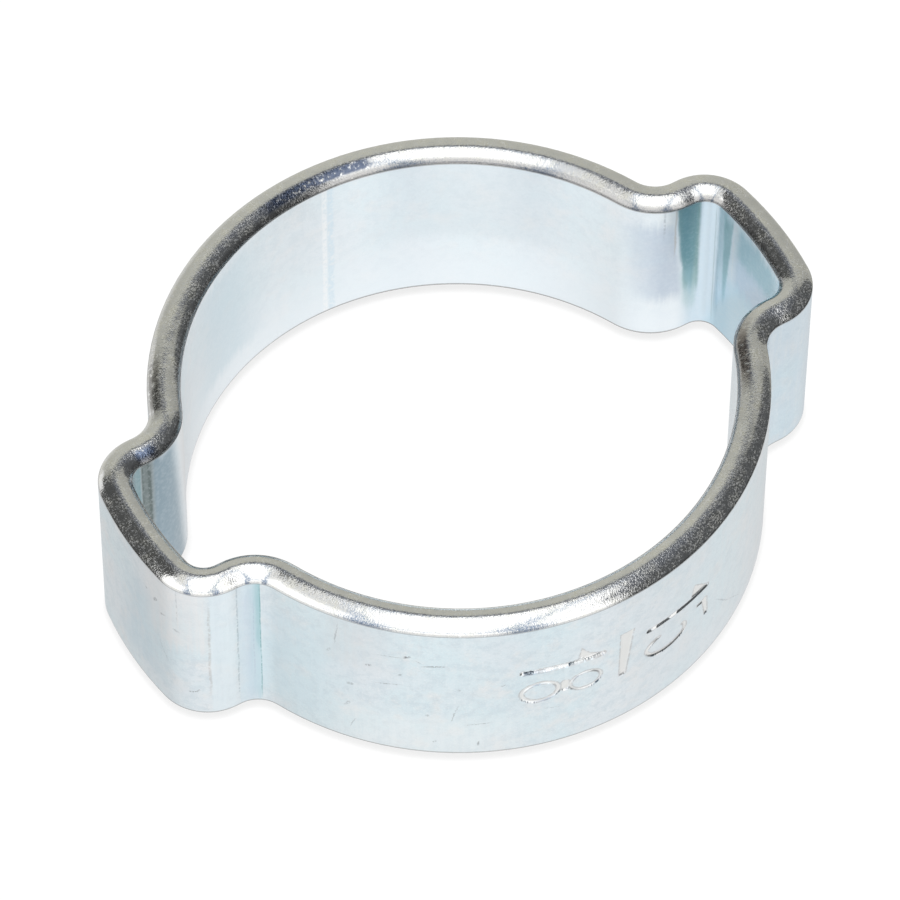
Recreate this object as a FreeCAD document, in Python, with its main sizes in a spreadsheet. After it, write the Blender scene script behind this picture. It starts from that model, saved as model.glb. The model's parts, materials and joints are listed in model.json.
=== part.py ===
# Ear hose clamp: one band of zinc-plated steel, a ring with a hollow ear on each side.
# The ears are pinched flat with pincers to close the ring on a hose.
#
# Frame, in millimetres: +Z is up, along the hose. The origin is on the hose's axis, level with
# the band's lower edge. The ears point along +X and -X.
import FreeCAD, Part
import os
from math import atan2, cos, pi, sin, sqrt

import Sketcher

NODE = "clamp_band"

# Driving sizes in millimetres. Each is set by itself, and every sketch reads it from the sheet.
SIZES = {
    "bore": 18.0,           # open inner diameter, the large end of the range that the clamp closes over
    "thickness": 1.1,       # of the band
    "band_width": 7.2,      # along the hose, over both crowned edges
    "edge_crown": 0.34,     # how far each rounded edge stands out past the flat walls
    "ear_height": 2.25,     # how far an ear stands out from the ring
    "ear_opening": 4.6,     # clear gap between the two legs of an ear
    "foot_bend": 1.05,      # inside radius of the bend from the ring into a leg
    "shoulder_bend": 0.7,   # inside radius of the bend from a leg into the ear's crown
}

# The same sizes as expressions. All of them run on the middle of the band's thickness.
HALF_WALL = "Sizes.thickness / 2"
RING_RADIUS = "Sizes.bore / 2 + " + HALF_WALL
EAR_RADIUS = RING_RADIUS + " + Sizes.ear_height"
LEG_OFFSET = "Sizes.ear_opening / 2 + " + HALF_WALL
FOOT_RADIUS = "Sizes.foot_bend + " + HALF_WALL
SHOULDER_RADIUS = "Sizes.shoulder_bend + " + HALF_WALL
EDGE_RADIUS = "(Sizes.thickness ^ 2 / 4 + Sizes.edge_crown ^ 2) / (2 * Sizes.edge_crown)"

# What the sketcher calls its own axes, the point where they cross, and the points of a curve
AXIS_Y, AXIS_X = range(-2, 0)
ORIGIN = (-1, 1)
START, END, CENTRE = range(1, 4)


def make_sheet(doc):
    """A spreadsheet with one named cell for each driving size."""
    sheet = doc.addObject("Spreadsheet::Sheet", "Sizes")
    for row, (name, value) in enumerate(SIZES.items(), start=1):
        sheet.set("A%d" % row, name)
        sheet.set("B%d" % row, str(value))
        sheet.setAlias("B%d" % row, name)
    doc.recompute()
    return sheet


def origin_plane(body, role):
    return next(feature for feature in body.Origin.OriginFeatures if feature.Role == role)


def add_sketch(body, name, role):
    sketch = body.newObject("Sketcher::SketchObject", name)
    sketch.AttachmentSupport = (origin_plane(body, role), [""])
    sketch.MapMode = "FlatFace"
    return sketch


def add_size(sketch, name, expression, kind, *where):
    """A named dimension of the sketch that follows an expression on the sheet."""
    value = sketch.evalExpression(expression)
    index = sketch.addConstraint(Sketcher.Constraint(kind, *where, value))
    sketch.renameConstraint(index, name)
    sketch.setExpression("Constraints." + name, expression)


def arc(centre, radius, first, last):
    circle = Part.Circle(FreeCAD.Vector(*centre, 0), FreeCAD.Vector(0, 0, 1), radius)
    return Part.ArcOfCircle(circle, first, last)


def line(first, last):
    return Part.LineSegment(FreeCAD.Vector(*first, 0), FreeCAD.Vector(*last, 0))


def sketch_route(body):
    """A quarter of the band's route, from the middle of the ring's side to the middle of an ear.

    Ring arc, foot bend, straight leg, shoulder bend and ear crown follow each other at a tangent.
    The ring and the ear's crown share the hose's axis. Both bends touch the line that the ear's
    opening gives, so the legs are parallel, unless the ear is too low for that and they lean in.
    """
    sketch = add_sketch(body, "route", "XY_Plane")
    ring, ear = sketch.evalExpression(RING_RADIUS), sketch.evalExpression(EAR_RADIUS)
    foot, shoulder = sketch.evalExpression(FOOT_RADIUS), sketch.evalExpression(SHOULDER_RADIUS)
    leg = sketch.evalExpression(LEG_OFFSET)

    # Where the bends and the leg lie, so that the sketch starts from its solved shape
    foot_y = leg + foot
    foot_x = sqrt((ring + foot) ** 2 - foot_y ** 2)
    shoulder_y = leg - shoulder
    shoulder_x = sqrt((ear - shoulder) ** 2 - shoulder_y ** 2)
    foot_angle = atan2(foot_y, foot_x)
    shoulder_angle = atan2(shoulder_y, shoulder_x)
    lean = 2 * atan2(max(foot_x - shoulder_x, 0), foot + shoulder)
    across_x, across_y = sin(lean), cos(lean)
    leg_start = (foot_x - foot * across_x, foot_y - foot * across_y)
    leg_end = (shoulder_x + shoulder * across_x, shoulder_y + shoulder * across_y)

    ring_arc = sketch.addGeometry(arc((0, 0), ring, foot_angle, pi / 2))
    foot_arc = sketch.addGeometry(
        arc((foot_x, foot_y), foot, foot_angle + pi, 3 * pi / 2 - lean))
    leg_line = sketch.addGeometry(line(leg_start, leg_end))
    shoulder_arc = sketch.addGeometry(
        arc((shoulder_x, shoulder_y), shoulder, shoulder_angle, pi / 2 - lean))
    ear_arc = sketch.addGeometry(arc((0, 0), ear, 0, shoulder_angle))

    for constraint in (
        Sketcher.Constraint("Coincident", ring_arc, CENTRE, *ORIGIN),
        Sketcher.Constraint("Coincident", ear_arc, CENTRE, *ORIGIN),
        Sketcher.Constraint("PointOnObject", ring_arc, END, AXIS_Y),
        Sketcher.Constraint("PointOnObject", ear_arc, START, AXIS_X),
        Sketcher.Constraint("Tangent", ring_arc, START, foot_arc, START),
        Sketcher.Constraint("Tangent", foot_arc, END, leg_line, START),
        Sketcher.Constraint("Tangent", leg_line, END, shoulder_arc, END),
        Sketcher.Constraint("Tangent", shoulder_arc, START, ear_arc, END),
    ):
        sketch.addConstraint(constraint)
    add_size(sketch, "ring_radius", RING_RADIUS, "Radius", ring_arc)
    add_size(sketch, "ear_radius", EAR_RADIUS, "Radius", ear_arc)
    add_size(sketch, "foot_radius", FOOT_RADIUS, "Radius", foot_arc)
    add_size(sketch, "shoulder_radius", SHOULDER_RADIUS, "Radius", shoulder_arc)
    add_size(sketch, "foot_centre", LEG_OFFSET + " + " + FOOT_RADIUS,
             "DistanceY", *ORIGIN, foot_arc, CENTRE)
    add_size(sketch, "shoulder_centre", LEG_OFFSET + " - (" + SHOULDER_RADIUS + ")",
             "DistanceY", *ORIGIN, shoulder_arc, CENTRE)
    return sketch


def sketch_section(body):
    """The band's section where the route starts: two flat walls and two crowned edges."""
    sketch = add_sketch(body, "section", "YZ_Plane")
    inner = sketch.evalExpression("Sizes.bore / 2")
    wall = sketch.evalExpression("Sizes.thickness")
    width = sketch.evalExpression("Sizes.band_width")
    crown = sketch.evalExpression("Sizes.edge_crown")
    radius = sketch.evalExpression(EDGE_RADIUS)
    outer, middle = inner + wall, inner + wall / 2
    low, high = crown, width - crown
    half_sweep = atan2(wall / 2, radius - crown)

    inner_wall = sketch.addGeometry(line((inner, low), (inner, high)))
    outer_wall = sketch.addGeometry(line((outer, high), (outer, low)))
    top_edge = sketch.addGeometry(
        arc((middle, width - radius), radius, pi / 2 - half_sweep, pi / 2 + half_sweep))
    low_edge = sketch.addGeometry(
        arc((middle, radius), radius, 3 * pi / 2 - half_sweep, 3 * pi / 2 + half_sweep))

    for constraint in (
        Sketcher.Constraint("Vertical", inner_wall),
        Sketcher.Constraint("Vertical", outer_wall),
        Sketcher.Constraint("Coincident", inner_wall, END, top_edge, END),
        Sketcher.Constraint("Coincident", top_edge, START, outer_wall, START),
        Sketcher.Constraint("Coincident", outer_wall, END, low_edge, END),
        Sketcher.Constraint("Coincident", low_edge, START, inner_wall, START),
        Sketcher.Constraint("Equal", inner_wall, outer_wall),
        Sketcher.Constraint("Equal", top_edge, low_edge),
    ):
        sketch.addConstraint(constraint)
    add_size(sketch, "bore_radius", "Sizes.bore / 2", "DistanceX", *ORIGIN, inner_wall, START)
    add_size(sketch, "wall", "Sizes.thickness", "DistanceX", inner_wall, START, outer_wall, END)
    add_size(sketch, "low_end", "Sizes.edge_crown", "DistanceY", *ORIGIN, inner_wall, START)
    add_size(sketch, "flat_height", "Sizes.band_width - 2 * Sizes.edge_crown",
             "DistanceY", inner_wall, START, inner_wall, END)
    add_size(sketch, "edge_radius", EDGE_RADIUS, "Radius", top_edge)
    return sketch


def make_band(doc):
    """The section swept along a quarter of the route, then mirrored to both ears and both sides."""
    body = doc.addObject("PartDesign::Body", NODE)
    body.Label = NODE
    route = sketch_route(body)
    section = sketch_section(body)
    doc.recompute()

    quarter = body.newObject("PartDesign::AdditivePipe", "quarter")
    quarter.Profile = section
    quarter.Spine = route
    doc.recompute()

    mirrors = []
    for name, role in (("other_side", "XZ_Plane"), ("other_ear", "YZ_Plane")):
        mirror = doc.addObject("PartDesign::Mirrored", name)
        mirror.MirrorPlane = (origin_plane(body, role), [""])
        mirrors.append(mirror)
    whole = body.newObject("PartDesign::MultiTransform", "whole_band")
    whole.Originals = [quarter]
    whole.Transformations = mirrors
    body.Tip = whole
    doc.recompute()
    return body


def check(doc, body):
    """Stop before anything is written if a feature failed or the band isn't one sound solid."""
    for item in doc.Objects:
        if "Invalid" in item.State or "Error" in item.State:
            raise RuntimeError("%s failed: %s" % (item.Name, item.State))
    shape = body.Shape
    if shape.isNull() or not shape.isValid() or len(shape.Solids) != 1:
        raise RuntimeError("%s isn't one valid solid" % body.Label)

    # A sweep's volume is its section times the length of its route
    section = next(item for item in doc.Objects if item.Name == "section")
    route = next(item for item in doc.Objects if item.Name == "route")
    expected = 4 * Part.Face(Part.Wire(section.Shape.Edges)).Area * route.Shape.Length
    if abs(shape.Volume / expected - 1) > 1e-4:
        raise RuntimeError("volume %.4f, expected %.4f" % (shape.Volume, expected))


def main():
    os.makedirs("parts", exist_ok=True)
    doc = FreeCAD.newDocument("ear_hose_clamp")
    make_sheet(doc)
    band = make_band(doc)
    check(doc, band)
    band.Shape.exportStep("parts/%s.step" % band.Label)
    box = band.Shape.BoundBox
    print("%s: %.3f x %.3f x %.3f mm, %.2f mm3" % (
        band.Label, box.XLength, box.YLength, box.ZLength, band.Shape.Volume))


main()
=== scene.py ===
"""Dressed model of an ear hose clamp, laid out as a Blender add-on and run as a script.

The clamp is one piece: a band of zinc-plated steel with a hollow ear on each side. Its mesh
follows the same tangent arcs as the CAD part and stands in for it. The size numbers are cut
into the outer wall, and the plating, its stains and the marks of forming are shader nodes.
Everything is in metres, in the frame of the CAD part.
"""

import json
from math import asin, atan2, ceil, cos, pi, radians, sin, sqrt

import bpy
import numpy as np
from bpy.props import FloatProperty, FloatVectorProperty, PointerProperty
from mathutils import Matrix, Vector


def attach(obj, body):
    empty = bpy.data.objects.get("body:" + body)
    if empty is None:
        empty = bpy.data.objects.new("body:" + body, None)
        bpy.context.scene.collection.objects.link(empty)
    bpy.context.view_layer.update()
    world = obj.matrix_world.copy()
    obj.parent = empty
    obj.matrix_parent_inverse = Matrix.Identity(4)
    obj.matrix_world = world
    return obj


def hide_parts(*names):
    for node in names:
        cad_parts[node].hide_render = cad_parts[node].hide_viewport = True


bl_info = {
    "name": "Ear hose clamp",
    "version": (1, 0, 0),
    "blender": (4, 5, 0),
    "location": "3D View > Sidebar > Hose clamp",
    "description": "Builds a plated ear hose clamp and a plain studio around it",
    "category": "Object",
}

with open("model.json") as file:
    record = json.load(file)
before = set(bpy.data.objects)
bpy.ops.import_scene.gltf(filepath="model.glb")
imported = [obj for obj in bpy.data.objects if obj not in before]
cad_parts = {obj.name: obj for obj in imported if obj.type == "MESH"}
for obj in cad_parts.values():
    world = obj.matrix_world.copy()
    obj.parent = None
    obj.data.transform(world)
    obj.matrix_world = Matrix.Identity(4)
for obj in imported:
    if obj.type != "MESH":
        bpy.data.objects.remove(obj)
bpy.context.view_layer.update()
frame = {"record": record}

NODE = "clamp_band"
BODY = "root"

MM = 0.001
BORE_MOUNT = next(m for m in frame["record"]["mounts"] if m["name"] == "hose_bore")

# The size numbers: the place of their bar, past the middle of the near side and up the band, how
# far the patch of wall that holds them runs along and up from there, and its columns and rows
STAMP_PAST_MIDDLE = 0.19 * MM
STAMP_HEIGHT = 3.85 * MM
PATCH_ALONG = (-3.95 * MM, 3.90 * MM)
PATCH_UP = (-1.45 * MM, 1.50 * MM)
PATCH_COLUMNS = 280
PATCH_ROWS = 106

# Relief of the finish in mm. The lean tips the rounded edges inwards by about 3 degrees
GRAIN_RELIEF = 0.0012
FINE_RELIEF = 0.0018
WAVE_RELIEF = 0.012
PIT_DEPTH = 0.0014
EDGE_LEAN = 0.026


def colour_property(name, description, default):
    return FloatVectorProperty(
        name=name, description=description, default=default, subtype="COLOR",
        size=3, min=0.0, max=1.0)


def length_property(name, description, default):
    return FloatProperty(
        name=name, description=description, default=default, unit="LENGTH", precision=5)


class BandSizes(bpy.types.PropertyGroup):
    """Sizes of the band, the same as the driving sizes of the CAD part, and of what is cut in it."""

    bore: length_property(
        "Bore", "Open inner diameter", 2 * MM * BORE_MOUNT["dims"]["r_mm"])
    thickness: length_property("Thickness", "Thickness of the band", 1.1 * MM)
    band_width: length_property("Band width", "Along the hose, over both edges", 7.2 * MM)
    edge_crown: length_property(
        "Edge crown", "How far a rounded edge stands out past the walls", 0.34 * MM)
    ear_height: length_property("Ear height", "How far an ear stands out", 2.25 * MM)
    ear_opening: length_property("Ear opening", "Clear gap between an ear's legs", 4.6 * MM)
    foot_bend: length_property("Foot bend", "Inside radius from ring to leg", 1.05 * MM)
    shoulder_bend: length_property("Shoulder bend", "Inside radius from leg to crown", 0.7 * MM)
    crease_blend: length_property(
        "Crease blend", "Radius between a wall and its rounded edge", 0.12 * MM)
    stamp_depth: length_property("Stamp depth", "Depth of the size numbers", 0.025 * MM)
    stem_depth: length_property("Stem depth", "Depth of the numbers' straight stems", 0.08 * MM)


class BandFinish(bpy.types.PropertyGroup):
    """Colours and gloss of the plating."""

    plating: colour_property("Plating", "Main colour of the walls", (0.66, 0.765, 0.805))
    grey_plating: colour_property("Grey plating", "Where the film is thin", (0.71, 0.765, 0.80))
    warm_plating: colour_property("Warm plating", "Where the film is stained", (0.75, 0.765, 0.77))
    edge_metal: colour_property("Edge metal", "Colour of the rounded edges", (0.82, 0.82, 0.80))
    wall_roughness: FloatProperty(
        name="Wall roughness", description="Of the flat walls", default=0.28, min=0, max=1)
    edge_roughness: FloatProperty(
        name="Edge roughness", description="Of the rounded edges", default=0.07, min=0, max=1)


class StudioSetup(bpy.types.PropertyGroup):
    """Camera and light."""

    camera_place: FloatVectorProperty(
        name="Camera place", description="Where the camera stands", size=3,
        default=(-0.071990, -0.117562, 0.190361), subtype="TRANSLATION", unit="LENGTH")
    camera_aim: FloatVectorProperty(
        name="Camera aim", description="What the camera looks at", size=3,
        default=(-0.0004334, -0.0001776, 0.0036), subtype="TRANSLATION", unit="LENGTH")
    camera_roll: FloatProperty(
        name="Camera roll", description="Turn of the camera about its own axis",
        default=radians(0.4365), subtype="ANGLE")
    lens: FloatProperty(
        name="Lens", description="Focal length in millimetres", default=283.94)
    card: FloatProperty(
        name="Card", description="Brightness of the white card behind the camera", default=1.5)


class Wire:
    """An output socket of a node tree, so that shader maths reads as Python expressions."""

    def __init__(self, socket):
        self.socket = socket

    @classmethod
    def node(cls, tree, kind, settings=None, inputs=None, output=0):
        """Adds a node. Its settings come first, then values or wires for its input sockets.

        The wire holds the output with the name or number given, or nothing for an end node.
        """
        node = tree.nodes.new(kind)
        for name, value in (settings or {}).items():
            setattr(node, name, value)
        for key, value in (inputs or {}).items():
            if isinstance(value, Wire):
                tree.links.new(value.socket, node.inputs[key])
            else:
                node.inputs[key].default_value = value
        return cls(node.outputs[output] if node.outputs else None)

    def maths(self, operation, *others, first=None):
        """A Math node on this wire and what follows it, or on a first value and this wire."""
        values = [self, *others] if first is None else [first, self]
        return self.node(self.socket.id_data, "ShaderNodeMath", {"operation": operation},
                         dict(enumerate(values)))

    def __add__(self, other):
        return self.maths("ADD", other)

    __radd__ = __add__

    def __sub__(self, other):
        return self.maths("SUBTRACT", other)

    def __rsub__(self, other):
        return self.maths("SUBTRACT", first=other)

    def __mul__(self, other):
        return self.maths("MULTIPLY", other)

    __rmul__ = __mul__

    def __truediv__(self, other):
        return self.maths("DIVIDE", other)

    def __abs__(self):
        return self.maths("ABSOLUTE")

    def step(self, none, full, top=1.0):
        """Runs smoothly from 0 where this wire is at none to top where it is at full."""
        return self.node(
            self.socket.id_data, "ShaderNodeMapRange", {"interpolation_type": "SMOOTHSTEP"},
            {"Value": self, "From Min": none, "From Max": full, "To Min": 0.0, "To Max": top})

    def band(self, centre, half_width, soft, top=1.0):
        """Top within half_width of a centre, falling to 0 over the soft distance past it."""
        return abs(self - centre).step(half_width + soft, half_width, top)

    def blend(self, first, second):
        """The first colour where this wire is 0, the second where it is 1."""
        def solid(colour):
            return colour if isinstance(colour, Wire) else (*colour, 1.0)
        return self.node(
            self.socket.id_data, "ShaderNodeMix", {"data_type": "RGBA"},
            {0: self, 6: solid(first), 7: solid(second)}, output=2)

    def scaled(self, vector):
        """This vector times another, part by part."""
        return self.node(self.socket.id_data, "ShaderNodeVectorMath", {"operation": "MULTIPLY"},
                         {0: self, 1: vector})

    def length(self):
        return self.node(self.socket.id_data, "ShaderNodeVectorMath", {"operation": "LENGTH"},
                         {0: self}, output="Value")

    def noise(self, scale, detail, roughness):
        """Noise over this wire, which holds a position. Its values lie about 0.5."""
        return self.node(
            self.socket.id_data, "ShaderNodeTexNoise", {},
            {"Vector": self, "Scale": scale, "Detail": detail, "Roughness": roughness})

    def parts(self):
        """The three coordinates of a vector."""
        split = self.node(self.socket.id_data, "ShaderNodeSeparateXYZ", {}, {0: self})
        return [Wire(output) for output in split.socket.node.outputs]


class Route:
    """The closed line along the middle of the band's thickness.

    It is a chain of arcs and straight legs at a tangent, each a length and a curvature. It starts
    at the butt joint, in the middle of the ring's far side, and runs counter-clockwise.
    """

    def __init__(self, sizes):
        half = sizes.thickness / 2
        self.ring = sizes.bore / 2 + half
        ear = self.ring + sizes.ear_height
        leg = sizes.ear_opening / 2 + half
        foot, shoulder = sizes.foot_bend + half, sizes.shoulder_bend + half
        foot_angle = asin((leg + foot) / (self.ring + foot))
        shoulder_angle = asin((leg - shoulder) / (ear - shoulder))
        leg_length = (ear - shoulder) * cos(shoulder_angle) - (self.ring + foot) * cos(foot_angle)
        quarter = [
            ((pi / 2 - foot_angle) * self.ring, 1 / self.ring),
            ((pi / 2 - foot_angle) * foot, -1 / foot),
            (leg_length, 0.0),
            ((pi / 2 - shoulder_angle) * shoulder, 1 / shoulder),
            (shoulder_angle * ear, 1 / ear),
        ]
        self.runs = (quarter + quarter[::-1]) * 2
        self.starts = [(0.0, complex(0, self.ring), pi)]
        for length, curvature in self.runs:
            at, place, heading = self.starts[-1]
            place, heading = self.travel(place, heading, length, curvature)
            self.starts.append((at + length, place, heading))
        self.length = self.starts[-1][0]

    @staticmethod
    def travel(place, heading, length, curvature):
        """The place and heading at the end of an arc, or of a leg with no curvature."""
        turned = heading + length * curvature
        if curvature:
            step = (np.exp(1j * turned) - np.exp(1j * heading)) / (1j * curvature)
        else:
            step = length * np.exp(1j * heading)
        return place + step, turned

    def at(self, distance):
        """The place and the outward normal at a distance along the route, both as x, y."""
        index = 0
        while index < len(self.runs) - 1 and distance > self.starts[index + 1][0]:
            index += 1
        start, place, heading = self.starts[index]
        place, heading = self.travel(place, heading, distance - start, self.runs[index][1])
        return (place.real, place.imag), (sin(heading), -cos(heading))

    def stations(self, turn, longest, fine):
        """Distances along the route, close enough together for its bends, and finer in places."""
        places = []
        for (start, _, _), (length, curvature) in zip(self.starts, self.runs):
            count = ceil(max(abs(length * curvature) / turn, length / longest))
            places += [start + length * step / count for step in range(count)]
        for low, high, count in fine:
            margin = (high - low) / count
            places = [p for p in places if not low - margin < p < high + margin]
            places += [low + (high - low) * step / count for step in range(count + 1)]
        return sorted(places)


def section_rows(sizes, edge_steps, blend_steps):
    """Half of the band's section, from the outer wall's top over the edge to the inner wall's top.

    Each row is a distance outwards from the middle of the thickness and a height.
    """
    half, crown, blend = sizes.thickness / 2, sizes.edge_crown, sizes.crease_blend
    radius = (half ** 2 + crown ** 2) / (2 * crown)
    centre = sizes.band_width - radius
    rise = sqrt((radius - blend) ** 2 - (half - blend) ** 2)
    meet = atan2(rise, half - blend)
    rows = [(half - blend + blend * cos(a), centre + rise + blend * sin(a))
            for a in np.linspace(0, meet, blend_steps, endpoint=False)]
    rows += [(radius * cos(a), centre + radius * sin(a))
             for a in np.linspace(meet, pi / 2, edge_steps)]
    return rows + [(-out, high) for out, high in reversed(rows[:-1])]


def stroke(x, y, start, end, first, last=None):
    """Signed distance from a straight stroke whose half-width runs from first to last."""
    last = first if last is None else last
    along = ((x - start[0]) * (end[0] - start[0]) + (y - start[1]) * (end[1] - start[1])) / (
        (end[0] - start[0]) ** 2 + (end[1] - start[1]) ** 2)
    along = np.clip(along, 0, 1)
    gap = np.hypot(x - start[0] - along * (end[0] - start[0]),
                   y - start[1] - along * (end[1] - start[1]))
    return gap - (first + along * (last - first))


def loop(x, y, centre, radii, half_width, first=-180, last=180):
    """Signed distance from an elliptical stroke, which may be open between two angles."""
    across, up = (x - centre[0]) / radii[0], (y - centre[1]) / radii[1]
    reach = np.hypot(across, up)
    slope = np.hypot(across / radii[0], up / radii[1]) / np.maximum(reach, 1e-6)
    gap = np.abs(reach - 1) / slope
    middle, spread = radians(first + last) / 2, radians(last - first) / 2
    turn = (np.arctan2(up, across) - middle + pi) % (2 * pi) - pi
    over = np.maximum(np.abs(turn) - spread, 0) * min(radii)
    return np.hypot(gap, over) - half_width


def wedge(x, y, corners):
    """Signed distance from a filled convex shape, whose corners run counter-clockwise."""
    sides = []
    for (x0, y0), (x1, y1) in zip(corners, corners[1:] + corners[:1]):
        length = sqrt((x1 - x0) ** 2 + (y1 - y0) ** 2)
        sides.append(((x - x0) * (y1 - y0) - (y - y0) * (x1 - x0)) / length)
    return np.max(sides, axis=0)


def groove(distance, slope):
    """From 0 at a stroke's border to 1 at a distance of slope inside it."""
    inside = np.clip(-distance / slope, 0, 1)
    return inside * inside * (3 - 2 * inside)


def spot(y, middle, half_width, slope):
    """1 about a place along the band, falling to 0 at half_width from it."""
    return groove(np.abs(y - middle) - half_width, slope)


def across_stem(x, y, start, end, half_width):
    """How far across a stem a point is, from -1 at its upper side to 1 at its lower side."""
    middle = start[0] + (end[0] - start[0]) * (y - start[1]) / (end[1] - start[1])
    return np.clip((x - middle) / half_width, -1, 1)


# Outlines of the size numbers, in mm from the middle of their bar, as down the band and along it.
# A stem has a start, an end and a half-width. The flags are the slanted tops of the two ones.
STEM_OF_15 = ((-0.42, 3.52), (-0.47, 0.84), 0.085)
STEM_OF_18 = ((-0.57, -0.92), (-0.68, -3.60), 0.125)
FLAGS = (
    ((-0.45, 3.58), (-1.10, 2.86), (-0.50, 2.70)),
    ((-0.72, -1.24), (-1.27, -1.66), (-0.72, -1.76)),
    ((-0.62, -0.84), (-0.98, -1.54), (-0.66, -1.66)),
)
BAR = ((-1.12, 0.26), (-1.10, -0.26), (1.14, -0.28), (1.16, -0.02))


def five_and_eight(x, y):
    """Signed distance from the shallow strokes of the digits 5 and 8."""
    return np.min([
        stroke(x, y, (0.32, 3.42), (1.08, 3.52), 0.14, 0.09),
        stroke(x, y, (0.28, 3.34), (0.26, 3.06), 0.08, 0.06),
        loop(x, y, (0.66, 1.62), (0.46, 0.83), 0.085, -150, 112),
        loop(x, y, (0.54, -1.49), (0.43, 0.54), 0.06),
        loop(x, y, (0.51, -3.04), (0.48, 0.61), 0.085),
        stroke(x, y, (0.34, -2.20), (0.62, -2.20), 0.15),
    ], axis=0)


def stamp(sizes, x, y):
    """The size numbers, 15 and 18 with a bar between, at x, y in millimetres from the bar.

    x runs down the band and y along it. Gives the depth in metres, a cover that is 1 inside a
    stroke, 0.5 on its border and 0 outside, and a glint from -1, dark, to 1, white.
    """
    flicker = np.sin(38 * y + 2.4 * np.sin(23 * y + 4 * x))
    # Painted glints on the stems of the ones: the flashes are painted highlights and the dark patches
    # painted dark reflections
    flashes = np.maximum(spot(y, 1.90, 0.17, 0.04), spot(y, 1.09, 0.11, 0.04))
    dark_glint = np.maximum(spot(y, -1.98, 0.13, 0.05), spot(y, -3.42, 0.20, 0.06))
    dark_glint = np.maximum(dark_glint, (y > -1.85) * np.clip(1.6 * flicker, 0, 1))
    depth, glint = np.zeros_like(x), np.zeros_like(x)
    digits = five_and_eight(x, y)
    shallow = np.min([digits, *(wedge(x, y, corners) for corners in (*FLAGS, BAR))], axis=0)
    nearest = shallow
    for (start, end, half_width), tone in (
            (STEM_OF_15, flashes), (STEM_OF_18, 0.55 + 0.5 * flicker - 1.6 * dark_glint)):
        distance = stroke(x, y, start, end, half_width)
        tilt = groove(-0.9 - across_stem(x, y, start, end, half_width), 1.7)
        level = 1 - np.maximum(tone, 0) * (y > 0)
        depth = np.maximum(depth, sizes.stem_depth * groove(distance, 0.05) * tilt * level)
        glint += groove(distance - 0.01, 0.05) * tone
        nearest = np.minimum(nearest, distance)
    depth = np.maximum(depth, sizes.stamp_depth * groove(shallow, 0.06))
    lower_lip = np.clip(-np.gradient(np.clip(0.5 - digits / 0.07, 0, 1), x) / 10, 0, 1)
    patches = np.clip(0.6 + np.sin(5.3 * y + 1.1), 0, 1)
    spots = np.where(y > 0, 1.5 * flicker + 0.2, 0.9 * flicker + 0.1)
    glint -= lower_lip * (x > 0.45) * patches * np.clip(spots, -0.6, 0.8)
    return depth, np.clip(0.5 - nearest / 0.12, 0, 1), np.clip(glint, -1, 1)


class HOSECLAMP_OT_band(bpy.types.Operator):
    """Sweep the band along its route, cut the size numbers and plate it"""

    bl_idname = "hose_clamp.band"
    bl_label = "Build the band"

    def execute(self, context):
        sizes = context.scene.hose_clamp_band
        mesh = band_mesh(sizes, Route(sizes))
        band = bpy.data.objects.new("plated_band", mesh)
        context.scene.collection.objects.link(band)
        mesh.materials.append(plated_steel(context.scene.hose_clamp_finish, sizes))
        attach(band, BODY)
        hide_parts(NODE)
        return {"FINISHED"}


def band_mesh(sizes, route):
    """Rings of points along the route, finer and with more rows where the size numbers are cut."""
    half = sizes.thickness / 2
    top = section_rows(sizes, edge_steps=12, blend_steps=4)
    bottom = [(-out, sizes.band_width - high) for out, high in top]

    # How many times longer the ring's outer wall is than the route
    outer = 1 + half / route.ring
    stamp_at = route.length / 2 + STAMP_PAST_MIDDLE
    patch_start, patch_end = (stamp_at + reach / outer for reach in PATCH_ALONG)
    patch_heights = np.linspace(STAMP_HEIGHT + PATCH_UP[0], STAMP_HEIGHT + PATCH_UP[1], PATCH_ROWS)
    stations = route.stations(turn=radians(4), longest=0.45 * MM,
                              fine=[(patch_start, patch_end, PATCH_COLUMNS)])
    rounding = 1e-9

    points, sides, covers, glints, rings = [], [], [], [], []
    for at in stations:
        (x, y), (nx, ny) = route.at(at)
        rows = [(out, high, 0.0, 0.0) for out, high in top + bottom]
        if patch_start - rounding < at < patch_end + rounding:
            cut, cover, glint = stamp(sizes, (STAMP_HEIGHT - patch_heights) / MM,
                                      np.full_like(patch_heights, (at - stamp_at) * outer / MM))
            rows += zip(half - cut, patch_heights, cover, glint)
        first = len(points)
        points += [(x + nx * out, y + ny * out, high) for out, high, _, _ in rows]
        sides += [out / half for out, _, _, _ in rows]
        covers += [cover for _, _, cover, _ in rows]
        glints += [glint for _, _, _, glint in rows]
        rings.append(list(range(first, first + len(rows))))

    plain = len(top) + len(bottom)
    faces = []
    for index, ring in enumerate(rings):
        following = rings[(index + 1) % len(rings)]
        for row in range(plain - 1):
            faces.append((ring[row], ring[row + 1], following[row + 1], following[row]))
        here, there = ring[plain:], following[plain:]
        low, high = ring[plain - 1], ring[0]
        next_low, next_high = following[plain - 1], following[0]
        if here and there:
            left, right = [low, *here, high], [next_low, *there, next_high]
            faces += [(left[k], left[k + 1], right[k + 1], right[k]) for k in range(len(left) - 1)]
        else:
            faces.append((low, *here, high, next_high, *there[::-1], next_low))

    mesh = bpy.data.meshes.new("plated_band")
    mesh.from_pydata(points, [], faces)
    for name, values in (("side", sides), ("stamp", covers), ("glint", glints)):
        mesh.attributes.new(name, "FLOAT", "POINT").data.foreach_set("value", values)
    add_band_map(mesh, stations, rings, points, route.length)
    mesh.shade_smooth()
    mesh.validate()
    mesh.update()
    return mesh


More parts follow.
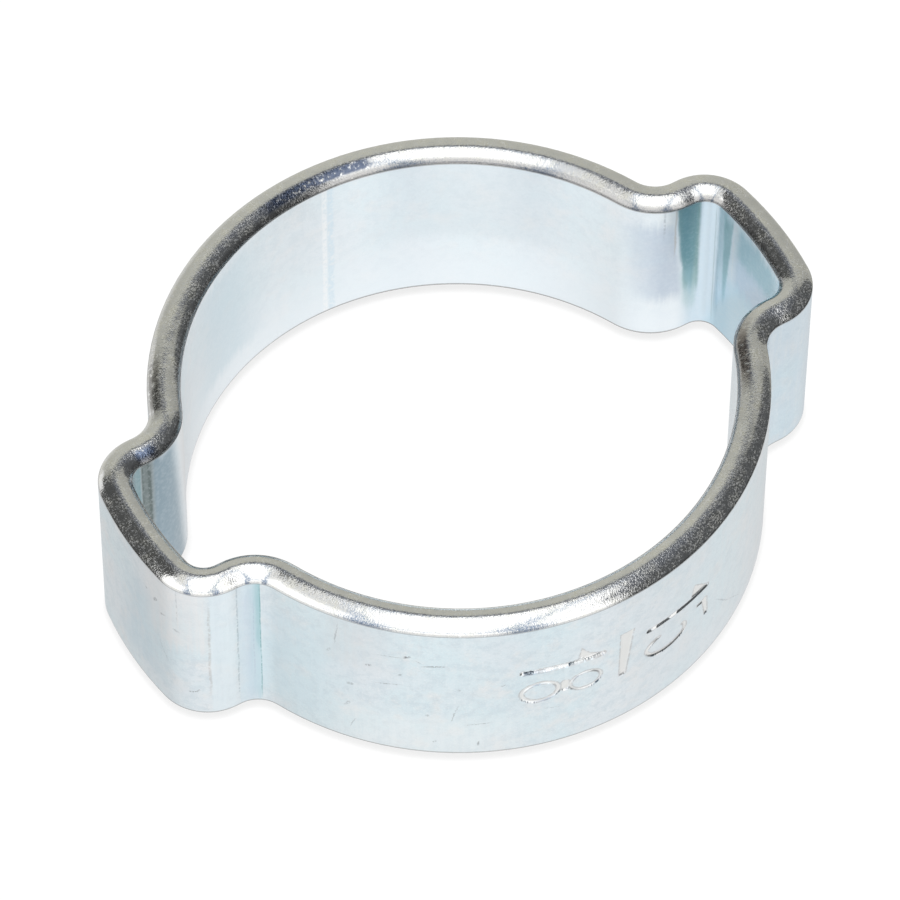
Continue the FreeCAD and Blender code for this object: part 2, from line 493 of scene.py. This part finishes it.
def add_band_map(mesh, stations, rings, points, whole_length):
    """A UV map in millimetres: along the route from the butt joint, and up the band's height."""
    ring_of = {vertex: index for index, ring in enumerate(rings) for vertex in ring}
    values = []
    last = len(rings) - 1
    for polygon in mesh.polygons:
        indices = [ring_of[vertex] for vertex in polygon.vertices]
        closes = last in indices and 0 in indices
        for vertex, index in zip(polygon.vertices, indices):
            along = whole_length if closes and index == 0 else stations[index]
            values += [along / MM, points[vertex][2] / MM]
    mesh.uv_layers.new(name="band_map").data.foreach_set("uv", values)


# Nicks and scratches of the outer wall: place along the route and up the band, length and width,
# all in mm, then the slant in degrees and the strength
MARKS = (
    (18.22, 5.45, 0.30, 0.14, 60, 0.70),
    (17.78, 5.58, 0.12, 0.08, 0, 0.50),
    (18.55, 5.02, 0.22, 0.08, 30, 0.50),
    (18.95, 4.60, 0.18, 0.10, -20, 0.45),
    (18.50, 3.10, 1.00, 0.04, -70, 0.35),
    (19.31, 1.46, 0.22, 0.06, 25, 0.80),
    (19.42, 1.56, 0.20, 0.05, 80, 0.60),
    (24.46, 5.95, 1.30, 0.04, 84, 0.45),
    (24.20, 4.90, 0.30, 0.10, 70, 0.25),
    (24.90, 3.40, 0.24, 0.14, 20, 0.40),
    (24.80, 2.25, 0.36, 0.12, 60, 0.35),
    (24.98, 1.25, 0.60, 0.04, 70, 0.45),
    (25.50, 4.72, 0.22, 0.10, 20, 0.60),
    (26.10, 3.90, 0.90, 0.05, 10, 0.50),
    (26.15, 5.44, 0.90, 0.04, 4, 0.40),
    (26.46, 4.50, 0.16, 0.10, 40, 0.50),
    (26.67, 5.55, 0.26, 0.11, 25, 0.90),
    (27.02, 5.34, 0.30, 0.04, -40, 0.40),
    (27.50, 5.17, 0.74, 0.07, 6, 0.80),
    (27.30, 2.42, 0.14, 0.12, 0, 0.40),
    (27.53, 0.96, 0.16, 0.08, 30, 0.50),
    (28.13, 2.55, 1.00, 0.04, 76, 0.50),
    (28.25, 3.90, 0.10, 0.12, 0, 0.35),
    (28.85, 1.97, 0.80, 0.05, 6, 0.40),
    (28.87, 0.88, 0.08, 0.26, 0, 0.60),
    (29.60, 4.03, 0.16, 0.08, 30, 0.40),
    (31.15, 2.30, 0.60, 0.04, -12, 0.30),
    (37.90, 2.25, 1.30, 0.06, -52, 0.50),
    (38.70, 1.40, 1.30, 0.04, -45, 0.35),
)


# Stains of the plating on each wall, and painted shade: the teal and dark clouds in the ears'
# hollows and at the left ear's foot stand in for shade. Each has a left and right border along the
# route and how soft each is, as (at the low end, at the high end, blur), low and high end, colour
# and strength
OUTER_STAINS_AND_SHADE = (
    ((19.74, 19.74, 0.04), (20.34, 20.30, 0.10), (-1.0, 9.0), (0.74, 0.82, 0.86), 0.75),
    ((20.46, 20.46, 0.04), (21.52, 21.52, 0.10), (-1.0, 9.0), (0.62, 0.73, 0.80), 0.60),
    ((20.95, 20.70, 0.30), (21.45, 21.45, 0.20), (0.6, 6.4), (0.55, 0.62, 0.72), 0.50),
    # The next two rows, teal, are painted shade seen in reflection where the left ear's foot turns
    # into the ring
    ((21.16, 21.04, 0.30), (21.57, 21.57, 0.03), (0.6, 7.0), (0.42, 0.62, 0.67), 0.55),
    ((21.36, 21.24, 0.14), (21.57, 21.57, 0.03), (3.4, 9.0), (0.26, 0.49, 0.52), 0.60),
    ((44.60, 44.60, 0.60), (49.60, 49.60, 1.00), (-1.0, 9.0), (0.54, 0.66, 0.75), 0.55),
    ((34.00, 35.00, 1.50), (44.00, 44.00, 0.60), (-1.0, 9.0), (0.62, 0.67, 0.70), 0.30),
    ((16.10, 17.00, 0.90), (18.30, 18.60, 1.20), (1.2, 5.6), (0.50, 0.63, 0.71), 0.55),
    ((20.60, 22.00, 0.80), (23.80, 24.40, 1.60), (1.0, 5.8), (0.60, 0.75, 0.82), 0.45),
    ((24.00, 24.20, 0.60), (25.60, 26.20, 1.20), (4.4, 8.0), (0.66, 0.68, 0.69), 0.50),
    ((17.90, 17.30, 0.70), (19.68, 19.68, 0.10), (3.6, 9.0), (0.79, 0.78, 0.775), 0.60),
    ((24.50, 24.50, 1.00), (29.50, 30.50, 1.50), (-1.0, 2.3), (0.80, 0.85, 0.86), 0.50),
)
INNER_STAINS_AND_SHADE = (
    ((10.40, 10.60, 0.50), (11.60, 12.05, 0.25), (2.5, 9.0), (0.80, 0.785, 0.785), 0.55),
    ((51.30, 51.30, 0.30), (53.90, 53.90, 0.30), (-1.0, 9.0), (0.59, 0.73, 0.83), 0.80),
    # The next three rows, dark and teal, are painted shade of the right ear's hollow as its leg
    # mirrors it
    ((53.24, 53.24, 0.12), (53.95, 54.33, 0.05), (2.4, 9.0), (0.23, 0.38, 0.39), 0.95),
    ((53.34, 53.30, 0.15), (53.90, 54.10, 0.12), (1.3, 3.4), (0.42, 0.58, 0.60), 0.60),
    ((53.80, 53.70, 0.20), (54.10, 54.31, 0.05), (4.0, 9.0), (0.13, 0.27, 0.31), 0.50),
    ((54.02, 54.28, 0.10), (55.00, 55.30, 0.60), (2.2, 6.1), (0.48, 0.56, 0.66), 0.75),
    ((54.22, 54.22, 0.02), (54.27, 54.27, 0.02), (4.6, 9.0), (0.46, 0.42, 0.38), 0.50),
    ((51.54, 51.24, 0.06), (51.66, 51.74, 0.07), (2.2, 6.7), (0.30, 0.49, 0.53), 0.85),
    ((51.88, 51.96, 0.06), (52.20, 52.10, 0.06), (1.2, 4.2), (0.38, 0.51, 0.59), 0.60),
    ((52.24, 52.24, 0.03), (52.32, 52.32, 0.03), (0.6, 6.6), (0.42, 0.53, 0.57), 0.60),
    ((52.62, 52.62, 0.10), (52.90, 52.90, 0.16), (0.6, 7.4), (0.56, 0.66, 0.72), 0.45),
    ((48.20, 48.20, 0.80), (51.00, 51.00, 0.30), (4.9, 6.7), (0.31, 0.52, 0.60), 0.85),
    ((48.20, 48.20, 0.80), (51.10, 51.10, 0.30), (3.3, 5.0), (0.42, 0.58, 0.74), 0.60),
    ((48.20, 48.20, 0.80), (53.20, 51.20, 0.60), (-1.0, 3.6), (0.49, 0.73, 0.86), 0.65),
    # The next three rows, dark and teal, are painted shade of the left ear's hollow
    ((11.66, 12.10, 0.28), (12.86, 12.86, 0.10), (0.0, 7.0), (0.25, 0.34, 0.40), 0.95),
    ((12.84, 12.84, 0.10), (13.34, 13.38, 0.12), (2.0, 9.0), (0.11, 0.145, 0.14), 0.85),
    ((13.36, 13.36, 0.10), (14.20, 14.20, 0.30), (-1.0, 9.0), (0.17, 0.30, 0.33), 0.90),
    ((58.00, 58.00, 2.00), (64.00, 64.00, 2.50), (3.0, 9.0), (0.60, 0.68, 0.72), 0.35),
    ((3.00, 3.40, 1.20), (6.40, 6.60, 1.40), (1.5, 6.6), (0.54, 0.68, 0.75), 0.55),
)

# Lines along the height on each wall, as place along the route, half width, low and high end,
# colour and strength. The teal line at the left ear's foot is a painted reflection and the two dark
# lines in the left ear's hollow are painted shade
OUTER_LINES = (
    (20.43, 0.010, 0.9, 6.9, (0.26, 0.34, 0.39), 0.45),
    (19.71, 0.012, 1.6, 6.0, (0.40, 0.34, 0.31), 0.30),
    (18.98, 0.006, 5.2, 6.9, (0.34, 0.36, 0.38), 0.30),
    # Painted reflection: teal, where the left ear's foot turns into the ring
    (21.56, 0.010, 0.8, 6.9, (0.20, 0.40, 0.42), 0.75),
    (21.22, 0.010, 1.6, 5.6, (0.40, 0.44, 0.56), 0.30),
)
INNER_LINES = (
    (66.62, 0.045, -1.0, 9.0, (0.95, 0.96, 0.96), 0.50),
    (66.38, 0.060, -1.0, 9.0, (0.60, 0.75, 0.85), 0.45),
    # The next two lines, dark, are painted shade in the left ear's hollow
    (12.95, 0.025, 2.4, 9.0, (0.06, 0.09, 0.085), 0.45),
    (13.22, 0.020, 2.8, 9.0, (0.07, 0.10, 0.095), 0.40),
    (54.54, 0.010, 5.6, 6.8, (0.36, 0.40, 0.44), 0.50),
    (51.20, 0.012, 3.8, 6.4, (0.74, 0.80, 0.83), 0.70),
)


# Painted dark reflections on the rounded edges: place along the route and across the thickness,
# where the walls are at 1 and -1, each as middle, half width and blur, and colour. The patch over
# the butt joint is given from both ends of the route.
EDGE_DARK_REFLECTIONS = (
    ((13.0, 0.25, 0.25), (-0.75, 0.25, 0.40), (0.20, 0.25, 0.36)),
    ((0.0, 1.6, 1.2), (-0.44, 0.20, 0.18), (0.15, 0.18, 0.25)),
    ((66.8, 1.8, 0.5), (-0.44, 0.20, 0.18), (0.15, 0.18, 0.25)),
    ((10.3, 0.5, 1.2), (0.60, 0.18, 0.24), (0.30, 0.295, 0.28)),
    ((44.2, 0.4, 1.4), (-0.52, 0.16, 0.24), (0.33, 0.30, 0.28)),
)


class BandSurface:
    """Wires that say where a point of the band is, and the noise that its finish is mixed with."""

    def __init__(self, tree, sizes):
        self.place = Wire.node(tree, "ShaderNodeTexCoord", output="Object").scaled((1 / MM,) * 3)
        self.along, self.up, _ = Wire.node(tree, "ShaderNodeUVMap", {"uv_map": "band_map"}).parts()
        self.side, self.cover, self.glint = (
            Wire.node(tree, "ShaderNodeAttribute", {"attribute_name": name}, output="Fac")
            for name in ("side", "stamp", "glint"))
        middle = sizes.band_width / MM / 2
        self.crown = sizes.edge_crown / MM
        self.from_edge = middle - abs(self.up - middle)
        self.edge = self.from_edge.step(self.crown + 0.04, self.crown - 0.03)
        self.outer = self.side.step(0.90, 0.96) * (1 - self.edge)
        self.inner = self.side.step(-0.90, -0.96) * (1 - self.edge)
        self.wide = self.place.noise(0.33, 3.0, 0.55)
        self.middling = self.place.noise(0.9, 4.0, 0.6)
        self.blotch = self.place.noise(2.6, 3.0, 0.6)
        self.fine = self.place.noise(7.0, 3.0, 0.6)
        self.grain = self.place.noise(16.0, 2.0, 0.6)
        self.streak = self.place.scaled((1, 1, 0.08)).noise(5.0, 3.0, 0.6)
        # Places along the band and up it that waver, for the borders of stains and lines
        self.wander = self.along + (self.middling - 0.5) * 0.10 + (self.fine - 0.5) * 0.04
        self.ragged = self.up + (self.streak - 0.5) * 0.9

    def reach(self, low, high, top=1.0):
        """Top between two heights, fading out past each of them."""
        mask = self.ragged.step(high + 0.45, high - 0.45, top)
        return mask * self.ragged.step(low - 0.45, low + 0.45) if low > 0 else mask


def plating_colour(surface, finish):
    """The blue-white film of the plating, mottled and finely grained. Painted light makes the inner
    wall paler towards its foot.
    """
    base = surface.wide.step(0.36, 0.62).blend(tuple(finish.plating), tuple(finish.grey_plating))
    base = surface.middling.step(0.48, 0.70, 0.8).blend(base, tuple(finish.warm_plating))
    base = surface.blotch.step(0.44, 0.66, 0.45).blend(base, (0.56, 0.65, 0.70))
    base = surface.streak.step(0.50, 0.75, 0.18).blend(base, (0.82, 0.85, 0.87))
    base = surface.fine.step(0.48, 0.76, 0.30).blend(base, (0.54, 0.60, 0.63))
    base = surface.grain.step(0.48, 0.72, 0.30).blend(base, (0.86, 0.89, 0.90))
    # Painted light: the inner wall is painted paler towards its foot
    pale = (0.85 - 0.45 * surface.up.step(0.2, 4.6)) * surface.inner
    return pale.blend(base, (0.85, 0.91, 0.95))


def add_stains_and_shade(surface, base):
    """Clouds of colour, each with its own borders: stains where the bends stretched the film, and
    painted shade in the ears' hollows and at the left ear's foot.
    """
    outer = surface.outer * (0.65 + surface.streak.step(0.38, 0.60, 0.35))
    inner = surface.inner * (0.86 + surface.fine.step(0.30, 0.60, 0.14))
    for wall, stains in ((outer, OUTER_STAINS_AND_SHADE), (inner, INNER_STAINS_AND_SHADE)):
        for left, right, (low, high), colour, strength in stains:
            mask = wall * surface.reach(low, high, strength)
            for (at_low, at_high, blur), sign in ((left, 1), (right, -1)):
                lean = (at_high - at_low) / (high - low)
                place = surface.wander - surface.up * lean if lean else surface.wander
                border = at_low - low * lean
                mask = mask * place.step(border - sign * blur, border + sign * blur)
            base = mask.blend(base, colour)
    return base


def add_lines(surface, base):
    """Fine lines across the band, left by the forming tools and by the butt joint, and painted shade
    and a painted teal reflection at the left ear.
    """
    broken = surface.fine.step(0.36, 0.54)
    for wall, lines in ((surface.outer, OUTER_LINES), (surface.inner, INNER_LINES)):
        wall = wall * broken
        for at, half_width, low, high, colour, strength in lines:
            mask = surface.wander.band(at, half_width, half_width * 2 + 0.01, strength)
            base = (mask * wall * surface.reach(low, high)).blend(base, colour)
    return base


def add_marks(surface, base):
    """Nicks and scratches of the outer wall, each an ellipse with a ragged border."""
    tree = base.socket.id_data
    flat = Wire.node(tree, "ShaderNodeCombineXYZ", {}, {
        "X": surface.along + (surface.fine - 0.5) * 0.14,
        "Y": surface.up + (surface.grain - 0.5) * 0.10})
    marks = 0.0
    for at, high, length, thick, slant, strength in MARKS:
        mark = Wire.node(tree, "ShaderNodeMapping", {"vector_type": "TEXTURE"}, {
            "Vector": flat, "Location": (at, high, 0), "Rotation": (0, 0, radians(slant)),
            "Scale": (length / 2, thick / 2, 1)})
        marks = mark.length().step(1.25, 0.55, strength) + marks
    marks = marks * surface.outer * surface.grain.step(0.35, 0.55)
    return marks.blend(base, (0.20, 0.21, 0.22))


def add_stamp_colour(surface, base):
    """Pale floors of the size numbers, their thin outlines, and glints on their lower sides."""
    floor = surface.cover.step(0.62, 0.85, 0.75)
    outline = surface.cover.band(0.5, 0.10, 0.24, 0.45) * surface.fine.step(0.32, 0.52)
    base = floor.blend(base, (0.78, 0.765, 0.74))
    base = outline.blend(base, (0.42, 0.37, 0.34))
    base = surface.glint.step(0.1, 0.7).blend(base, (0.97, 0.97, 0.96))
    dark = surface.glint.step(-0.1, -0.7) * surface.fine.step(0.32, 0.48)
    return dark.blend(base, (0.08, 0.11, 0.14))


def edge_colour(surface, base, finish):
    """Bare-looking rolled edges with painted dark reflections in patches, and painted shade along the
    crease between an edge and its walls and over the edges' inner side.
    """
    metal = surface.grain.step(0.46, 0.70, 0.4).blend(tuple(finish.edge_metal), (0.62, 0.66, 0.72))
    metal = surface.blotch.step(0.48, 0.66, 0.5).blend(metal, (0.82, 0.81, 0.73))
    uneven = surface.fine.step(0.30, 0.50)
    for along, across, colour in EDGE_DARK_REFLECTIONS:
        mask = surface.along.band(*along) * surface.side.band(*across) * uneven
        metal = mask.blend(metal, colour)
    base = surface.edge.blend(base, metal)
    # Painted shade: dark along the crease and over the inner side of the rounded edges
    crease = surface.from_edge.band(surface.crown, 0.03, 0.05, 0.60)
    crease = crease + surface.side.step(-0.66, -0.88, 0.75) * surface.edge
    return (crease * surface.fine.step(0.10, 0.42)).blend(base, (0.31, 0.305, 0.30))


def plated_steel(finish, sizes):
    """Zinc plating: satin blue-white walls, glossier rolled edges, stains and marks of forming."""
    material = bpy.data.materials.new("plated_steel")
    material.use_nodes = True
    tree = material.node_tree
    tree.nodes.clear()
    surface = BandSurface(tree, sizes)
    edge = surface.edge

    base = plating_colour(surface, finish)
    for add in (add_stains_and_shade, add_lines, add_marks, add_stamp_colour):
        base = add(surface, base)
    base = edge_colour(surface, base, finish)

    gloss = finish.wall_roughness + (finish.edge_roughness - finish.wall_roughness) * edge
    gloss = gloss + surface.grain.step(0.50, 0.70, 0.10) * edge
    bare = 1 - surface.grain.step(0.46, 0.64, 0.30) * surface.blotch.step(0.34, 0.62) * edge
    pits = surface.place.noise(20.0, 1.0, 0.5).step(0.46, 0.66, PIT_DEPTH) * edge
    relief = surface.grain * GRAIN_RELIEF + surface.fine * FINE_RELIEF - pits
    relief = relief + surface.middling * WAVE_RELIEF + surface.side * EDGE_LEAN
    bump = Wire.node(tree, "ShaderNodeBump", {}, {
        "Distance": MM, "Strength": 1.0, "Height": relief})
    shader = Wire.node(tree, "ShaderNodeBsdfPrincipled", {}, {
        "Base Color": base, "Metallic": bare, "Roughness": gloss, "Normal": bump})
    Wire.node(tree, "ShaderNodeOutputMaterial", {}, {0: shader})
    return material


class HOSECLAMP_OT_studio(bpy.types.Operator):
    """Set the floor, the world's light and the camera"""

    bl_idname = "hose_clamp.studio"
    bl_label = "Set the studio"

    def execute(self, context):
        setup = context.scene.hose_clamp_studio
        make_floor(context.scene)
        make_world(context.scene, setup)
        make_camera(context.scene, setup)
        context.scene.view_settings.view_transform = "Standard"
        return {"FINISHED"}


def make_floor(scene):
    """White paper, greyed close to where the band stands on it. Gloss doesn't mirror it."""
    reach = 0.6
    contact_reach = 0.35 * MM
    glow, glow_share = 1.10, 0.87
    corners = [(-reach, -reach, 0), (reach, -reach, 0), (reach, reach, 0), (-reach, reach, 0)]
    mesh = bpy.data.meshes.new("floor")
    mesh.from_pydata(corners, [], [(0, 1, 2, 3)])
    floor = bpy.data.objects.new("floor", mesh)
    scene.collection.objects.link(floor)
    material = bpy.data.materials.new("pale_floor")
    material.use_nodes = True
    tree = material.node_tree
    tree.nodes.clear()
    paper = Wire.node(tree, "ShaderNodeBsdfDiffuse", {}, {"Color": (0.8, 0.8, 0.8, 1)})
    grey, white = (
        Wire.node(tree, "ShaderNodeEmission", {}, {"Color": (tone, tone, tone, 1), "Strength": glow})
        for tone in (0.82, 1.0))
    open_sky = Wire.node(tree, "ShaderNodeAmbientOcclusion", {"samples": 8},
                         {"Distance": contact_reach}, output="AO").step(0.35, 1.0)
    glowing = Wire.node(tree, "ShaderNodeMixShader", {}, {0: open_sky, 1: grey, 2: white})
    shaded = Wire.node(tree, "ShaderNodeMixShader", {}, {0: glow_share, 1: paper, 2: glowing})
    clear = Wire.node(tree, "ShaderNodeBsdfTransparent")
    shader = Wire.node(tree, "ShaderNodeMixShader", {}, {0: gloss_rays(tree), 1: shaded, 2: clear})
    Wire.node(tree, "ShaderNodeOutputMaterial", {}, {0: shader})
    mesh.materials.append(material)


def gloss_rays(tree):
    """1 for the rays that show a reflection, 0 for all others."""
    return Wire.node(tree, "ShaderNodeLightPath", output="Is Glossy Ray")


class StudioView:
    """Wires that say where in the studio a reflected ray ends."""

    def __init__(self, tree):
        self.x, self.y, self.z = Wire.node(tree, "ShaderNodeTexCoord", output="Generated").parts()
        self.turn = self.y.maths("ARCTAN2", self.x) * (180 / pi)
        self.rise = self.z.maths("ARCSINE") * (180 / pi)
        # Where the ray meets a level ceiling, in units of the ceiling's height
        height = self.z.maths("MAXIMUM", 0.1)
        self.east, self.north = self.x / height, self.y / height

    def facing(self, azimuth, half_width, soft):
        """1 within half_width degrees of an azimuth, falling to 0 over soft degrees."""
        gap = abs((self.turn - azimuth).maths("WRAP", 180.0, -180.0))
        return gap.step(half_width + soft / 2, half_width - soft / 2)


# Colours of what the metal mirrors
GAP = (0.13, 0.14, 0.165)
GAP_BY_BOX = (0.088, 0.092, 0.096)
GAP_BEHIND = (0.080, 0.082, 0.082)
WALL_ENDS = (0.40, 0.40, 0.37)
WALL_MIDDLE = (0.54, 0.54, 0.49)
LOW_WALL = (0.68, 0.68, 0.66)
BACKDROP = (0.92, 0.92, 0.92)
BOX_FLAP = (0.86, 0.86, 0.85)
BOX_STRUTS = (0.42, 0.52, 0.68)
CARD_SLOTS = (0.34, 0.43, 0.59)
GROUND_NEAR = (1.0, 1.0, 1.0)
GROUND_FAR = (0.77, 0.77, 0.77)


def far_side(view):
    """What stands opposite the camera: dark gaps, a grey wall, and a pale backdrop low down."""
    by_box = (view.east + 0.05 * view.north - 0.33).step(0.0, 0.6)
    light = by_box.blend(GAP, GAP_BY_BOX)
    light = view.facing(150, 60, 40).blend(light, GAP_BEHIND)
    wall = (view.north - 0.14 * view.east).step(-0.04, 0.12)
    wall = wall * (view.north + view.east - 1.0).step(-0.05, 0.09)
    wall = wall * (view.east + 0.6 * view.north - 0.46).step(-0.05, 0.12)
    light = wall.blend(light, view.facing(70, 26, 60).blend(WALL_ENDS, WALL_MIDDLE))
    low_wall = view.facing(103, 24, 26) * view.rise.step(2, -24)
    light = low_wall.blend(light, LOW_WALL)
    backdrop = view.facing(118, 12, 8) * view.rise.step(12, 2)
    return backdrop.blend(light, BACKDROP)


def add_card_and_box(view, light, brightness):
    """The white card behind the camera, and over the clamp a white box with a flap and struts."""
    white = (brightness,) * 3
    card = view.facing(-134, 62.5, 7) * view.rise.step(62, 56)
    light = card.blend(light, white)
    box = (0.36 + 0.26 * view.east - view.north).step(-0.025, 0.025)
    box = box * (0.33 - 0.05 * view.north - view.east).step(-0.025, 0.025)
    flap = (view.north - 0.72 * view.east - 0.25).step(-0.02, 0.02) * view.rise.step(25, 45)
    # The struts look thinner towards the top
    thin = 1.2 - view.z
    struts = ((view.y - 0.72 * view.x - 0.25 * view.z) / thin).band(0.0, 0.06, 0.07)
    struts = struts + ((view.x - 0.38 * view.y - 0.25 * view.z) / thin).band(0.0, 0.07, 0.08)
    panel = struts.step(0.0, 1.0).blend(flap.blend(white, BOX_FLAP), BOX_STRUTS)
    return (box * view.rise.step(15, 25)).blend(light, panel)


def add_slots_and_ground(view, light):
    """Slots in the white card, two upright and one level, and the pale ground below everything."""
    slots = view.facing(-101, 6, 4) * view.rise.step(30, 20)
    slots = slots + view.facing(-149, 6, 4) * view.rise.step(26, 16)
    slots = slots + view.facing(-126, 24, 6) * view.rise.band(17.0, 1.0, 2.0, 0.7)
    light = slots.step(0.0, 1.0).blend(light, CARD_SLOTS)
    ground = view.facing(95, 80, 80).blend(GROUND_NEAR, GROUND_FAR)
    return view.rise.step(-34, -46).blend(light, ground)


def make_world(scene, setup):
    """Only gloss shows the studio. All else is lit by a plain pale sky, which the camera sees too."""
    world = bpy.data.worlds.new("studio")
    scene.world = world
    world.use_nodes = True
    tree = world.node_tree
    tree.nodes.clear()
    view = StudioView(tree)
    light = add_card_and_box(view, far_side(view), setup.card)
    light = add_slots_and_ground(view, light)
    sky = Wire.node(tree, "ShaderNodeBackground", {}, {"Color": (1, 1, 1, 1), "Strength": 1.0})
    studio = Wire.node(tree, "ShaderNodeBackground", {}, {"Color": light, "Strength": 1.0})
    shader = Wire.node(tree, "ShaderNodeMixShader", {}, {0: gloss_rays(tree), 1: sky, 2: studio})
    Wire.node(tree, "ShaderNodeOutputWorld", {}, {0: shader})


def make_camera(scene, setup):
    """A camera that stands at its place, looks at its aim and is rolled about that line."""
    data = bpy.data.cameras.new("camera")
    data.sensor_width = 36.0
    data.lens = setup.lens
    data.clip_start, data.clip_end = 0.01, 10.0
    camera = bpy.data.objects.new("camera", data)
    scene.collection.objects.link(camera)
    backwards = Vector(setup.camera_place) - Vector(setup.camera_aim)
    upright = backwards.to_track_quat("Z", "Y").to_matrix().to_4x4()
    camera.matrix_world = Matrix.Translation(setup.camera_place) @ upright @ Matrix.Rotation(
        setup.camera_roll, 4, "Z")
    scene.camera = camera


class HOSECLAMP_PT_panel(bpy.types.Panel):
    """Sizes, finish and studio of the hose clamp"""

    bl_idname = "HOSECLAMP_PT_panel"
    bl_label = "Hose clamp"
    bl_space_type = "VIEW_3D"
    bl_region_type = "UI"
    bl_category = "Hose clamp"

    def draw(self, context):
        for group in (context.scene.hose_clamp_band, context.scene.hose_clamp_finish,
                      context.scene.hose_clamp_studio):
            box = self.layout.box()
            for name in group.__annotations__:
                box.prop(group, name)
        for operator in OPERATORS:
            self.layout.operator(operator.bl_idname)


GROUPS = {
    "hose_clamp_band": BandSizes,
    "hose_clamp_finish": BandFinish,
    "hose_clamp_studio": StudioSetup,
}
OPERATORS = (HOSECLAMP_OT_band, HOSECLAMP_OT_studio)


def register():
    for cls in (*GROUPS.values(), *OPERATORS, HOSECLAMP_PT_panel):
        bpy.utils.register_class(cls)
    for name, group in GROUPS.items():
        setattr(bpy.types.Scene, name, PointerProperty(type=group))


def unregister():
    for name in GROUPS:
        delattr(bpy.types.Scene, name)
    for cls in (HOSECLAMP_PT_panel, *OPERATORS, *GROUPS.values()):
        bpy.utils.unregister_class(cls)


def main():
    register()
    bpy.ops.hose_clamp.band()
    bpy.ops.hose_clamp.studio()


if __name__ == "__main__":
    main()
